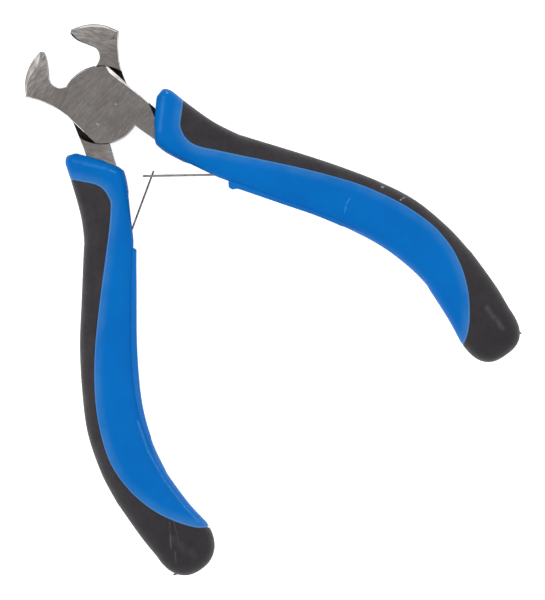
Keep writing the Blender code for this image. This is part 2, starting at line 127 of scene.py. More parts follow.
def outline_normals(outline):
    """Outward miter vectors of a closed counter-clockwise outline."""
    pts = np.array(outline, float)
    ahead = np.roll(pts, -1, axis=0) - pts
    ahead /= np.linalg.norm(ahead, axis=1)[:, None]
    behind = np.roll(ahead, 1, axis=0)
    normal = np.stack([ahead[:, 1] + behind[:, 1], -ahead[:, 0] - behind[:, 0]], 1)
    normal /= np.linalg.norm(normal, axis=1)[:, None]
    stretch = np.clip((normal * np.stack([ahead[:, 1], -ahead[:, 0]], 1)).sum(1), 0.5, 1)
    return normal / stretch[:, None]


def grown(outline, distance):
    return [tuple(p) for p in np.array(outline, float) + outline_normals(outline) * distance]


def fillet(before, corner, after, radius, steps=10):
    corner = Vector(corner)
    u = (Vector(before) - corner).normalized()
    v = (Vector(after) - corner).normalized()
    half = u.angle(v) / 2
    start = corner + u * radius / math.tan(half)
    end = corner + v * radius / math.tan(half)
    centre = corner + (u + v).normalized() * radius / math.sin(half)
    a = start - centre
    b = end - centre
    turn = math.pi - 2 * half
    return [centre + (a * math.sin((1 - t) * turn) + b * math.sin(t * turn)) / math.sin(turn)
            for t in np.linspace(0, 1, steps + 1)]


# ------------ mesh helpers

def new_object(name, mesh, *materials):
    obj = bpy.data.objects.new(name, mesh)
    scene.collection.objects.link(obj)
    for mat in materials:
        mesh.materials.append(mat)
    return obj


def add_piece(name, mesh, body, cad_node, slot, *materials):
    """A visible piece that rides on a body and stands for a CAD node."""
    obj = new_object(name, mesh, *materials)
    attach(obj, body)
    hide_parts(cad_node)


def mesh_of(bm, name):
    bmesh.ops.remove_doubles(bm, verts=bm.verts, dist=2e-7)
    bmesh.ops.recalc_face_normals(bm, faces=bm.faces)
    mesh = bpy.data.meshes.new(name)
    bm.to_mesh(mesh)
    bm.free()
    return mesh


def loft_mesh(rings):
    """A closed skin over rings of equal point count, with flat ends."""
    bm = bmesh.new()
    rows = [[bm.verts.new([c * MM for c in p]) for p in ring] for ring in rings]
    for low, high in zip(rows, rows[1:]):
        for i in range(len(low)):
            j = (i + 1) % len(low)
            bm.faces.new((low[i], low[j], high[j], high[i]))
    bm.faces.new(list(reversed(rows[0])))
    bm.faces.new(rows[-1])
    return mesh_of(bm, "loft")


def prism_mesh(outline, low, high):
    """A flat outline made solid between two heights."""
    return loft_mesh([[(x, y, z) for x, y in outline] for z in (low, high)])


def turned_mesh(profile, steps=96):
    """A closed (radius, height) profile turned about Z; the ends on the axis close it."""
    bm = bmesh.new()
    rings = []
    for r, z in profile:
        count = 1 if r == 0 else steps
        rings.append([bm.verts.new((r * MM * math.cos(2 * math.pi * k / steps),
                                    r * MM * math.sin(2 * math.pi * k / steps), z * MM))
                      for k in range(count)])
    for low, high in zip(rings, rings[1:]):
        for k in range(steps):
            m = (k + 1) % steps
            quad = (low[k % len(low)], low[m % len(low)], high[m % len(high)], high[k % len(high)])
            corners = list(dict.fromkeys(quad))
            if len(corners) > 2:
                bm.faces.new(corners)
    return mesh_of(bm, "turned")


def box_mesh(size, matrix):
    bm = bmesh.new()
    bmesh.ops.create_cube(bm, size=MM)
    bmesh.ops.scale(bm, vec=size, verts=bm.verts)
    bmesh.ops.transform(bm, matrix=matrix, verts=bm.verts)
    return mesh_of(bm, "box")


def combined(mesh, others, operation):
    """The mesh after an exact Boolean with several other meshes."""
    obj = new_object("work", mesh)
    tools = bpy.data.collections.new("tools")
    scene.collection.children.link(tools)
    for other in others:
        tool = bpy.data.objects.new("tool", other)
        tools.objects.link(tool)
    mod = obj.modifiers.new("cut", "BOOLEAN")
    mod.operation = operation
    mod.solver = "EXACT"
    mod.operand_type = "COLLECTION"
    mod.collection = tools
    bpy.context.view_layer.update()
    result = bpy.data.meshes.new_from_object(obj.evaluated_get(bpy.context.evaluated_depsgraph_get()))
    for tool in list(tools.objects):
        bpy.data.objects.remove(tool)
    bpy.data.collections.remove(tools)
    bpy.data.objects.remove(obj)
    return result


def cleaned(mesh, sharp_deg):
    """Welds what a Boolean left, drops faces that it made twice, and shades smooth but for edges
    sharper than the given angle. Leaves the mesh without materials."""
    bm = bmesh.new()
    bm.from_mesh(mesh)
    bmesh.ops.remove_doubles(bm, verts=bm.verts, dist=1e-6)
    bmesh.ops.dissolve_degenerate(bm, edges=bm.edges, dist=1e-7)
    same = {}
    for face in bm.faces:
        same.setdefault(frozenset(face.verts), []).append(face)
    bmesh.ops.delete(bm, geom=[f for faces in same.values() for f in faces[1:]], context="FACES_ONLY")
    for face in bm.faces:
        face.smooth = True
    for edge in bm.edges:
        if len(edge.link_faces) == 2:
            edge.smooth = edge.calc_face_angle() < math.radians(sharp_deg)
    bm.to_mesh(mesh)
    bm.free()
    mesh.materials.clear()
    return mesh


# ------------ node helpers

class Shader:
    """A Principled material with a few short cuts for procedural detail."""

    def __init__(self, name, **values):
        self.mat = bpy.data.materials.new(name)
        self.mat.use_nodes = True
        self.tree = self.mat.node_tree
        self.bsdf = self.tree.nodes["Principled BSDF"]
        self.coords = self.node("ShaderNodeTexCoord").outputs["Object"]
        for key, value in values.items():
            self.bsdf.inputs[key.replace("_", " ")].default_value = value

    def put(self, target, value):
        if isinstance(value, bpy.types.NodeSocket):
            self.tree.links.new(value, target)
        else:
            target.default_value = value

    def node(self, kind, inputs=(), **settings):
        """A new node with its settings, and its inputs by name or by number."""
        made = self.tree.nodes.new(kind)
        for key, value in settings.items():
            setattr(made, key, value)
        for key, value in dict(inputs).items():
            self.put(made.inputs[key], value)
        return made

    def math(self, operation, a, b=0.0, clamp=False):
        return self.node("ShaderNodeMath", {0: a, 1: b}, operation=operation, use_clamp=clamp).outputs[0]

    def vector(self, operation, inputs, output="Vector"):
        return self.node("ShaderNodeVectorMath", inputs, operation=operation).outputs[output]

    def scaled(self, factors, spin_deg=0.0):
        """Object coordinates turned about Z and scaled per axis, for stretched textures."""
        spin = (0, 0, math.radians(spin_deg))
        turned = self.node("ShaderNodeMapping", {"Rotation": spin, "Vector": self.coords})
        return self.node("ShaderNodeMapping", {"Scale": factors, "Vector": turned.outputs[0]}).outputs[0]

    def noise(self, per_mm, detail=3.0, rough=0.55, vector=None, offset=0.0):
        inputs = {"Scale": per_mm / MM, "Detail": detail, "Roughness": rough, "W": offset,
                  "Vector": vector or self.coords}
        return self.node("ShaderNodeTexNoise", inputs, noise_dimensions="4D").outputs["Fac"]

    def ramp(self, value, low, high, out_low=0.0, out_high=1.0):
        inputs = {"Value": value, "From Min": low, "From Max": high, "To Min": out_low, "To Max": out_high}
        return self.node("ShaderNodeMapRange", inputs, interpolation_type="SMOOTHSTEP").outputs["Result"]

    def mix(self, factor, a, b):
        a, b = ((*c, 1.0) if isinstance(c, tuple) else c for c in (a, b))
        return self.node("ShaderNodeMix", {0: factor, 6: a, 7: b}, data_type="RGBA").outputs[2]

    def attribute(self, name):
        return self.node("ShaderNodeAttribute", attribute_name=name).outputs["Fac"]

    def axis(self, index):
        return self.node("ShaderNodeSeparateXYZ", {0: self.coords}).outputs[index]

    def bump(self, height, distance_mm, strength, normal=None):
        inputs = {"Distance": distance_mm * MM, "Strength": strength, "Height": height}
        if normal is not None:
            inputs["Normal"] = normal
        return self.node("ShaderNodeBump", inputs).outputs["Normal"]

    def near_segment(self, start, end, width_mm):
        """1 on a line between two points seen from above, falling to 0 at the given half width."""
        a, b = (Vector((*p, 0)) * MM for p in (start, end))
        away = self.vector("SUBTRACT", {0: self.vector("MULTIPLY", {0: self.coords, 1: (1, 1, 0)}), 1: a})
        along = self.vector("DOT_PRODUCT", {0: away, 1: (b - a) / (b - a).length_squared}, "Value")
        foot = self.vector("SCALE", {0: b - a, "Scale": self.math("MULTIPLY", along, 1.0, clamp=True)})
        apart = self.vector("DISTANCE", {0: away, 1: foot}, "Value")
        return self.ramp(apart, 0.0, width_mm * MM, 1.0, 0.0)

    def stain(self, base, tone, noise, low, high, strength):
        """Lays a tone over the base where the noise rises from low to high."""
        return self.mix(self.ramp(noise, low, high, 0.0, strength), base, tone)

    def marks(self, base, marks, tone, broken=1.0):
        """Lays lines over the base, each a (start, end, half width in mm, strength): scratches and scuffs,
        and also painted highlights and painted shade.
        """
        for start, end, width, strength in marks:
            mark = self.math("MULTIPLY", self.near_segment(start, end, width), strength)
            base = self.mix(self.math("MULTIPLY", mark, broken), base, tone)
        return base

    def finish(self, **sockets):
        for key, value in sockets.items():
            self.put(self.bsdf.inputs[key.replace("_", " ")], value)
        return self.mat


# ------------ materials

# Marks seen from above: (start, end, half width, strength). Most are scratches, scuffs and specks; the
# painted highlights and painted shade among them are noted at their tables
BLUE_MARKS_AND_HIGHLIGHTS = {
    "right": [
        # First entry: painted highlight along the collar's rounded edge; last entry: painted highlight spot
        # on the collar
        ((6.6, -10.9), (11.0, -5.9), 0.55, 0.16), ((27.2, -45.6), (28.2, -44.6), 0.18, 0.5),
        ((28.4, -44.4), (29.6, -43.9), 0.16, 0.5), ((12.1, -5.5), (12.15, -5.65), 0.35, 0.75)],
    "left": [
        # First and last entries: painted highlight along the collar's rounded edge
        ((-6.6, -10.9), (-11.0, -5.9), 0.55, 0.16), ((-30.6, -55.7), (-32.4, -61.8), 0.36, 0.24),
        ((-32.4, -61.8), (-33.1, -68.5), 0.36, 0.26), ((-33.1, -68.5), (-32.85, -75.0), 0.36, 0.26),
        ((-32.85, -75.0), (-32.3, -79.0), 0.36, 0.22), ((-5.5, -12.6), (-6.2, -11.5), 0.25, 0.45)]}
BLACK_SPECKS = {
    "right": [
        ((36.2, -45.7), (36.4, -45.9), 0.3, 0.8), ((37.7, -50.0), (37.9, -50.0), 0.26, 0.7),
        ((38.4, -50.0), (38.6, -50.1), 0.26, 0.6)],
    "left": []}
BLACK_SCUFFS = {
    "right": [
        ((39.3, -77.6), (39.5, -82.6), 0.9, 0.11)],
    "left": [
        ((-37.0, -75.7), (-40.0, -80.4), 0.24, 0.16), ((-36.35, -76.3), (-37.65, -79.5), 0.22, 0.13),
        ((-39.6, -81.2), (-40.85, -83.4), 0.24, 0.12), ((-38.5, -79.0), (-37.0, -84.0), 1.4, 0.05)]}
STEEL_DINGS = [
    ((-2.9, -2.5), (-2.8, -2.9), 0.24, 0.5), ((2.35, -1.4), (2.5, -1.6), 0.24, 0.5)]
# Dark lines on the ground faces. The first two run along the disc's upper left edge, where the lower lever's
# edge lies beneath, and are painted shade of that gap; the others are dark marks.
STEEL_SHADE_AND_DARK_MARKS = [
    ((-3.35, 7.05), (-2.2, 7.55), 0.2, 0.8), ((-2.2, 7.55), (-0.6, 7.8), 0.16, 0.8),
    ((3.6, 7.15), (3.95, 7.25), 0.3, 0.85), ((4.0, 6.85), (5.15, 6.15), 0.13, 0.8),
    ((9.1, 9.65), (9.7, 9.5), 0.22, 0.6), ((9.7, 9.5), (10.2, 9.9), 0.22, 0.6),
    ((-9.9, 9.4), (-9.0, 9.45), 0.25, 0.3)]
BRUSHING_DEG = {"right": -14.0, "left": 50.0}


def blue_material(side, ledge=False):
    s = Shader("grip_blue_" + side + ("_ledge" if ledge else ""), Specular_IOR_Level=0.04)
    seam = s.attribute("seam_mm")
    mottle = s.noise(0.09, 4.0, 0.6)
    colour = s.mix(s.ramp(mottle, 0.3, 0.7), (0.000, 0.108, 0.385), (0.000, 0.122, 0.420))
    # Painted highlight: a lighter band about 2 mm wide beside the seam, where the blue slopes down to the
    # black, broken up by the patchy noise
    patchy = s.ramp(s.noise(0.12, 3.0, 0.6, offset=6.0), 0.35, 0.65, 0.35, 1.0)
    seam_highlight_band = s.math("MULTIPLY", s.ramp(seam, 0.5, 2.2, 0.60, 0.0), patchy)
    colour = s.mix(seam_highlight_band, colour, (0.040, 0.166, 0.41))
    # Painted highlight: a thin lighter line on the lip at the seam
    lip = s.ramp(seam, 0.10, 0.45, 0.55, 0.0)
    colour = s.mix(lip, colour, (0.10, 0.22, 0.45))
    scuffs = s.noise(0.6, 6.0, 0.7, s.scaled((1.0, 0.22, 1.0), -32.0))
    colour = s.stain(colour, (0.10, 0.26, 0.56), scuffs, 0.66, 0.78, 0.10)
    broken = s.ramp(s.noise(0.5, 3.0, 0.6, offset=9.0), 0.36, 0.60, 0.5, 1.0)
    # Scratches, plus the painted highlights along the collar's edge
    colour = s.marks(colour, BLUE_MARKS_AND_HIGHLIGHTS[side], (0.12, 0.32, 0.62), broken)
    if ledge:
        # The ledge is coloured lighter, more so towards the butt
        colour = s.mix(s.ramp(s.axis(1), -0.056, -0.042, 0.30, 0.10), colour, (0.06, 0.175, 0.42))
    rough = s.ramp(s.noise(0.35, 4.0, 0.6, offset=3.0), 0.3, 0.7, 0.40, 0.52)
    normal = s.bump(s.noise(5.0, 2.0, 0.5), 0.02, 0.30)
    normal = s.bump(s.noise(0.45, 2.0, 0.5, offset=5.0), 0.12, 0.22, normal)
    return s.finish(Base_Color=colour, Roughness=rough, Normal=normal)


def black_material(side):
    s = Shader("grip_black_" + side, Specular_IOR_Level=0.11, Sheen_Weight=0.05, Sheen_Roughness=0.45)
    mottle = s.noise(0.16, 4.0, 0.6, offset=1.0)
    colour = s.mix(s.ramp(mottle, 0.3, 0.7), (0.0240, 0.0216, 0.0242), (0.0345, 0.0314, 0.0352))
    patches = s.noise(0.9, 4.0, 0.7, offset=5.0)
    colour = s.stain(colour, (0.018, 0.0155, 0.0165), patches, 0.42, 0.62, 0.35)
    worn = s.ramp(s.axis(1), -0.082, -0.060, 0.45, 0.0)
    colour = s.mix(worn, colour, (0.018, 0.017, 0.018))
    dust = s.noise(1.4, 5.0, 0.7, offset=4.0)
    colour = s.stain(colour, (0.09, 0.086, 0.09), dust, 0.68, 0.80, 0.25)
    broken = s.ramp(s.noise(0.7, 4.0, 0.7, offset=9.0), 0.38, 0.64, 0.35, 1.0)
    colour = s.marks(colour, BLACK_SPECKS[side], (0.30, 0.30, 0.31))
    colour = s.marks(colour, BLACK_SCUFFS[side], (0.30, 0.30, 0.31), broken)
    rough = s.ramp(s.noise(0.5, 4.0, 0.6, offset=6.0), 0.3, 0.7, 0.50, 0.64)
    normal = s.bump(s.noise(4.0, 3.0, 0.6, offset=2.0), 0.03, 0.40)
    normal = s.bump(s.noise(0.5, 3.0, 0.5, offset=8.0), 0.12, 0.3, normal)
    return s.finish(Base_Color=colour, Roughness=rough, Normal=normal)


def ground_material(side):
    """Flat ground faces of the forging: fine brushing, small pits and darker blotches."""
    s = Shader("steel_ground_" + side, Metallic=1.0)
    brushing = BRUSHING_DEG[side]
    lines = s.noise(3.0, 3.0, 0.65, s.scaled((0.16, 1.0, 0.3), brushing))
    broad = s.noise(0.9, 4.0, 0.65, s.scaled((0.30, 1.0, 0.3), brushing * 0.8), offset=3.0)
    grain = s.noise(2.6, 3.0, 0.7, offset=2.0)
    blotch = s.noise(0.30, 5.0, 0.65, offset=4.0)
    pits = s.noise(3.2, 4.0, 0.6, offset=7.0)
    base = s.mix(s.ramp(blotch, 0.32, 0.68), (0.128, 0.117, 0.110), (0.162, 0.150, 0.142))
    base = s.stain(base, (0.265, 0.247, 0.236), lines, 0.40, 0.70, 0.46)
    base = s.stain(base, (0.098, 0.086, 0.078), broad, 0.42, 0.66, 0.28)
    base = s.stain(base, (0.078, 0.070, 0.065), grain, 0.42, 0.70, 0.26)
    base = s.stain(base, (0.045, 0.040, 0.036), pits, 0.60, 0.72, 0.25)
    # The jaws and the left neck are brighter than the joint
    jaw = s.ramp(s.axis(1), 0.0060, 0.0150, 0.0, 0.74)
    left_of_axis = s.ramp(s.axis(0), -0.002, 0.0, 1.0, 0.0)
    neck = s.math("MULTIPLY", s.ramp(s.axis(1), -0.0085, -0.0062, 0.30, 0.0), left_of_axis)
    streaks = s.mix(s.ramp(lines, 0.36, 0.68), (0.165, 0.152, 0.144), (0.415, 0.391, 0.377))
    streaks = s.stain(streaks, (0.150, 0.136, 0.128), broad, 0.46, 0.66, 0.30)
    base = s.mix(s.math("MAXIMUM", jaw, neck), base, streaks)
    base = s.marks(base, STEEL_DINGS, (0.50, 0.48, 0.47))
    # Painted shade along the disc's upper left edge, and dark marks
    base = s.marks(base, STEEL_SHADE_AND_DARK_MARKS, (0.018, 0.016, 0.015))
    rough = s.ramp(lines, 0.3, 0.75, 0.46, 0.34)
    return s.finish(Base_Color=base, Roughness=rough, Normal=s.bump(lines, 0.010, 0.5))


def flank_material():
    """Forged sides: satin, slightly rough skin."""
    s = Shader("steel_flank", Metallic=1.0)
    skin = s.noise(0.8, 5.0, 0.65)
    base = s.mix(s.ramp(skin, 0.3, 0.7), (0.10, 0.092, 0.087), (0.19, 0.176, 0.168))
    return s.finish(Base_Color=base, Roughness=s.ramp(skin, 0.3, 0.7, 0.5, 0.38),
                    Normal=s.bump(s.noise(1.6, 4.0, 0.6, offset=3.0), 0.05, 0.4))


def edge_material():
    """Chamfers, bright in patches."""
    s = Shader("steel_edge", Metallic=1.0)
    lines = s.noise(5.0, 3.0, 0.6, s.scaled((0.2, 1.0, 0.3), 30.0))
    worn = s.noise(0.45, 4.0, 0.7, offset=3.0)
    base = s.mix(s.ramp(lines, 0.3, 0.7), (0.36, 0.35, 0.34), (0.50, 0.49, 0.48))
    base = s.stain(base, (0.80, 0.79, 0.78), worn, 0.40, 0.58, 0.8)
    return s.finish(Base_Color=base, Roughness=s.ramp(lines, 0.3, 0.7, 0.34, 0.26))


def facet_material():
    """The worn facet along the outer side of a jaw, streaked along its length."""
    s = Shader("steel_facet", Metallic=1.0)
    lines = s.noise(2.8, 3.0, 0.65, s.scaled((0.20, 1.0, 0.3), -30.0))
    patches = s.noise(0.7, 4.0, 0.6, offset=3.0)
    base = s.mix(s.ramp(lines, 0.35, 0.70), (0.185, 0.172, 0.164), (0.345, 0.324, 0.312))
    base = s.stain(base, (0.215, 0.201, 0.192), patches, 0.5, 0.7, 0.5)
    return s.finish(Base_Color=base, Roughness=s.ramp(lines, 0.3, 0.7, 0.44, 0.34),
                    Normal=s.bump(lines, 0.02, 0.5))


def oxide_and_shade_material():
    """Black oxide left in the joint's recess and on the neck's unground slope; the same dark finish is
    painted shade on the steep bevel under a jaw's tip.
    """
    s = Shader("steel_oxide_and_shade", Metallic=0.6, Specular_IOR_Level=0.3)
    skin = s.noise(1.2, 4.0, 0.6)
    base = s.mix(s.ramp(skin, 0.35, 0.7), (0.006, 0.005, 0.005), (0.020, 0.018, 0.016))
    return s.finish(Base_Color=base, Roughness=s.ramp(skin, 0.3, 0.7, 0.5, 0.65),
                    Normal=s.bump(skin, 0.04, 0.4))


def spring_material(name, dark, light):
    s = Shader(name, Metallic=1.0)
    lines = s.noise(5.0, 3.0, 0.6, s.scaled((1.0, 1.0, 0.08)))
    tint = s.noise(0.8, 3.0, 0.6, offset=2.0)
    base = s.mix(s.ramp(tint, 0.35, 0.7), dark, light)
    base = s.stain(base, tuple(0.5 * c for c in dark), lines, 0.5, 0.8, 0.4)
    return s.finish(Base_Color=base, Roughness=s.ramp(lines, 0.3, 0.7, 0.34, 0.46),
                    Normal=s.bump(lines, 0.01, 0.4))


GROUND = {side: ground_material(side) for side in SIDES}
OTHER_STEEL = {"flank": flank_material(), "edge": edge_material(), "facet": facet_material(),
               "oxide_and_shade": oxide_and_shade_material()}
SPRING = {"right": spring_material("spring_strip_right", (0.20, 0.165, 0.150), (0.30, 0.265, 0.245)),
          "left": spring_material("spring_strip_left", (0.070, 0.058, 0.052), (0.135, 0.118, 0.108))}

# ------------ levers

DISC_RADIUS = 7.75
# The lower lever's disc shows as a dark rim beside the upper one, between the jaws
SHELF_WIDTH = 0.24
SHELF_OVERLAP = 1.0
SHELF_DROP = 0.3
# Room between each lever's disc and the recess it turns in
RUNNING_GAP = {"right": 0.4, "left": 0.1}
LAP_GAP = 0.04
RIVET = {"shank": 2.4, "head": 3.0, "depth": 0.7, "gap": 0.004}
JAW_OUTER_ARC = [(-3.75, 15.8), (-6.0, 15.2), (-8.1, 14.1), (-9.9, 12.45), (-11.35, 10.15)]
JAW_FLANK = [(-11.35, 10.15), (-9.6, 7.9), (-8.2, 5.6), (-7.1, 2.9), (-6.45, 0.0), (-5.4, -5.56)]
THROAT_ROOT = [(-3.4, 6.96), (-4.65, 7.5), (-5.35, 8.2), (-5.7, 9.3), (-5.55, 10.3)]
THROAT = {"right": THROAT_ROOT + [(-4.9, 11.4), (-3.9, 13.2), (-3.35, 14.5), (-3.2, 15.3)],
          "left": THROAT_ROOT + [(-4.85, 11.4), (-3.68, 13.2), (-3.22, 14.5), (-3.2, 15.3)]}
NECK_INNER = [(3.1, -7.1), (4.6, -11.5), (5.8, -13.4)]
NECK_CUT = [(8.05, -4.5), (6.9, -9.6)]
NECK_CUT_SLOPE = 40.0
NECK_CUT_BLOCK = Vector((16.0, 8.0, 4.0))
NECK_OUTER = [(9.7, -11.8), (8.25, -6.2), (5.45, 5.51)]
# Sections of the tang: inner point, outer point and half height
TANG = [((4.4, -10.6), (8.9, -9.3), 3.9), ((5.35, -12.9), (9.7, -11.4), 3.8),
        ((7.9, -17.0), (11.9, -14.6), 3.0), ((13.85, -26.2), (17.7, -23.9), 2.6),
        ((20.1, -35.7), (23.9, -33.2), 2.5), ((25.2, -43.3), (29.0, -41.0), 2.4),
        ((29.5, -51.0), (33.5, -49.2), 2.4), ((32.4, -59.0), (36.5, -58.0), 2.4),
        ((33.9, -66.0), (37.7, -66.0), 2.4)]

# Edge breaks in two steps, as (width, depth) of the outer step and then of the inner one
PLAIN_BREAK = (0.06,) * 4
SMALL_BREAK = (0.04,) * 4
# Along the outer arc of the jaw: its upper side has a wide shallow facet, its lower side a bright line
UPPER_FACET = [(0.08, 0.12, 0.06, 0.03), (0.08, 0.14, 1.20, 0.36), (0.08, 0.14, 1.02, 0.33),
               (0.10, 0.16, 0.44, 0.16), (0.08, 0.14, 0.14, 0.07)]
LOWER_RIM = [(0.10, 0.20, 0.08, 0.06), (0.18, 0.44, 0.32, 0.22), (0.20, 0.52, 0.36, 0.24),
             (0.18, 0.48, 0.34, 0.23), (0.20, 0.50, 0.24, 0.16)]
# Along the throat to the cutting edge: a steep bevel at the tip of the lower side, made dark with painted
# shade
LOWER_TIP = [PLAIN_BREAK] * 4 + [
    (0.08, 0.10, 0.06, 0.06), (0.12, 0.30, 0.06, 0.06), (0.20, 0.60, 0.04, 0.04), (0.34, 1.00, 0.04, 0.04),
    (0.16, 0.50, 0.04, 0.04)]
# Bright chamfer along the neck's outer side: (y, width), and the depths of its steps per width
FLANK_X = 4.5
FLANK_TOP_Y = 5.6
FLANK_DEPTHS = (0.42, 0.38)
BRIGHT_FLANK = [(-6.2, 0.12), (-4.0, 0.18), (0.0, 0.36), (2.5, 0.64), (4.6, 0.70), (5.5, 0.38)]


def lever_outline(side):
    """Outline points, and the breaks of their upper and of their lower edge."""
    arc_points = smooth(JAW_OUTER_ARC, 10)
    throat = smooth(THROAT[side], 8)[1:]
    neck = [tuple(Vector(NECK_OUTER[1]).lerp(Vector(NECK_OUTER[2]), t))
            for t in np.linspace(0, 1, 12)[:-1]]
    runs = [(arc_points, smooth(UPPER_FACET, 10), smooth(LOWER_RIM, 10)),
            (smooth(JAW_FLANK, 8)[1:-1], PLAIN_BREAK, PLAIN_BREAK),
            (arc(DISC_RADIUS, angle_of(JAW_FLANK[-1]) + 360, angle_of(NECK_INNER[0]) + 360),
             SMALL_BREAK, PLAIN_BREAK),
            (NECK_INNER[1:], PLAIN_BREAK, PLAIN_BREAK),
            (NECK_OUTER[:1], PLAIN_BREAK, PLAIN_BREAK),
            (neck, PLAIN_BREAK, PLAIN_BREAK),
            (arc(DISC_RADIUS, angle_of(NECK_OUTER[-1]), angle_of(THROAT[side][0])), SMALL_BREAK, PLAIN_BREAK),
            (throat, PLAIN_BREAK, smooth(LOWER_TIP, 8)[1:])]
    points = []
    upper = []
    lower = []
    for run, high, low in runs:
        points += [tuple(p) for p in run]
        upper += [high] * len(run) if isinstance(high[0], float) else high
        lower += [low] * len(run) if isinstance(low[0], float) else low
    upper = np.array(upper)
    heights, widths = np.array(BRIGHT_FLANK).T
    for k, (x, y) in enumerate(points):
        if x > FLANK_X and heights[0] < y < FLANK_TOP_Y:
            width = np.interp(y, heights, widths) / 2
            upper[k] = (width, width * FLANK_DEPTHS[0], width, width * FLANK_DEPTHS[1])
    return points, upper, np.array(lower)


def lever_blank(side):
    """The forging before machining: its outline with broken edges."""
    points, upper, lower = lever_outline(side)
    normals = outline_normals(points)
    flat = np.array(points)
    rings = []
    for base, sign, breaks in ((0.0, 1, lower), (THICK, -1, upper)):
        width_1, depth_1, width_2, depth_2 = breaks.T
        steps = [(width_1 + width_2, 0 * depth_1), (width_1, depth_2), (0 * width_1, depth_1 + depth_2)]
        for inset, depth in steps[::sign]:
            ring = flat - normals * inset[:, None]
            rings.append([(x, y, base + sign * d) for (x, y), d in zip(ring, depth)])
    return loft_mesh(rings)


def tang_rings(gap=0.0):
    rings = []
    knots = [(*a, *b, h) for a, b, h in TANG]
    for k in range((len(knots) - 1) * 3 + 1):
        row = catmull(knots, k / 3)
        inner = Vector(row[:2])
        outer = Vector(row[2:4])
        across = (outer - inner).normalized() * gap
        inner -= across
        outer += across
        high = row[4] + gap
        rings.append([(*inner, MID_Z - high), (*outer, MID_Z - high),
                      (*outer, MID_Z + high), (*inner, MID_Z + high)])
    return rings


def neck_cut_mesh():
    """The block that leaves the unground slope on the neck."""
    start = Vector((*NECK_CUT[0], THICK))
    end = Vector((*NECK_CUT[1], THICK))
    along = (end - start).normalized()
    out = Vector((-along.y, along.x, 0))
    slope = math.radians(NECK_CUT_SLOPE)
    down = out * math.cos(slope) - Vector((0, 0, math.sin(slope)))
    normal = out * math.sin(slope) + Vector((0, 0, math.cos(slope)))
    centre = (start + end + normal * NECK_CUT_BLOCK.z) / 2
    turn = Matrix((along, down, normal)).transposed().to_4x4()
    return box_mesh(NECK_CUT_BLOCK, Matrix.Translation(centre * MM) @ turn)


def rivet_profile(gap=0.0, reach=0.0):
    head = RIVET["head"] + gap
    shank = RIVET["shank"] + gap
    top = [(0, THICK + reach), (head, THICK + reach)] + ([(head, THICK)] if reach else [])
    low = ([(head, 0)] if reach else []) + [(head, -reach), (0, -reach)]
    return top + [(shank, THICK - RIVET["depth"]), (shank, RIVET["depth"])] + low


def shelf_mesh():
    """The rim that the lower lever's disc shows beside the upper one."""
    ends = angle_of(NECK_OUTER[-1]), angle_of(THROAT["left"][0]) - 0.5
    rim = arc(DISC_RADIUS + SHELF_WIDTH, *ends)
    inside = arc(DISC_RADIUS - SHELF_OVERLAP, *ends)[::-1]
    return prism_mesh(rim + inside, MID_Z + LAP_GAP, THICK - SHELF_DROP)


# Least |normal z| of a ground face, a facet and an edge break
GROUND_TILT = 0.99
FACET_TILT = 0.85
EDGE_TILT = 0.6
WALL_TILT = 0.2


def steel_finish(c, n, area):
    """The finish of a lever's face, from its centre in mm, its normal and its area in mm2."""
    tilt = abs(n.z)
    if tilt < WALL_TILT and math.hypot(c.x, c.y) < DISC_RADIUS + 0.5 and c.z < MID_Z + 0.1:
        return "oxide_and_shade"  # wall of the joint's recess
    if EDGE_TILT < n.z < 0.9 and 6.0 < c.x < 9.5 and -12.5 < c.y < -4.0 and area > 0.3:
        return "oxide_and_shade"  # unground slope of the neck
    if abs(c.z - MID_Z) < 1.0 and tilt > 0.9:
        return "oxide_and_shade"  # floor of the recess
    # Painted shade: the steep bevel under the tip takes the dark finish of the recess
    if c.x > -4.6 and c.y > 12.5 and c.z < 1.2 and -0.62 < n.z < -0.1:
        return "oxide_and_shade"  # bevel under the tip
    if c.x > FLANK_X and -6.3 < c.y < 5.7 and c.z > 7.0 and EDGE_TILT < n.z < GROUND_TILT:
        return "edge"
    if c.y < -10.5 and abs(c.z - MID_Z) < 3.95 and tilt < 0.999:
        return "flank"  # tang
    return ("ground" if tilt > GROUND_TILT else "facet" if tilt > FACET_TILT
            else "edge" if tilt > EDGE_TILT else "flank")


def make_lever(side, cad_node):
    mesh = lever_blank(side)
    reach = DISC_RADIUS + RUNNING_GAP[side]
    floor_z = MID_Z + LAP_GAP / 2
    recess = turned_mesh([(0, floor_z), (reach, floor_z), (reach, -3.0), (0, -3.0)], 144)
    hole = turned_mesh(rivet_profile(RIVET["gap"], 1.0))
    mesh = combined(mesh, [recess, neck_cut_mesh()], "DIFFERENCE")
    mesh = combined(mesh, [loft_mesh(tang_rings())] + ([shelf_mesh()] if side == "left" else []), "UNION")
    mesh = combined(mesh, [hole], "DIFFERENCE")
    cleaned(mesh, 12.0)
    finishes = {"ground": GROUND[side], **OTHER_STEEL}
    names = list(finishes)
    for face in mesh.polygons:
        finish = steel_finish(face.center / MM, face.normal, face.area / MM ** 2)
        face.material_index = names.index(finish)
    mesh.transform(place(side))
    add_piece("lever_body_" + side, mesh, BODY[side], cad_node, "forged_steel", *finishes.values())


make_lever("right", "lever_upper")
make_lever("left", "lever_lower")

add_piece("rivet_ground_flush", cleaned(turned_mesh(rivet_profile()), 28.0), "lower_lever", "pivot_rivet",
          "forged_steel", GROUND["right"])

# ------------ grips

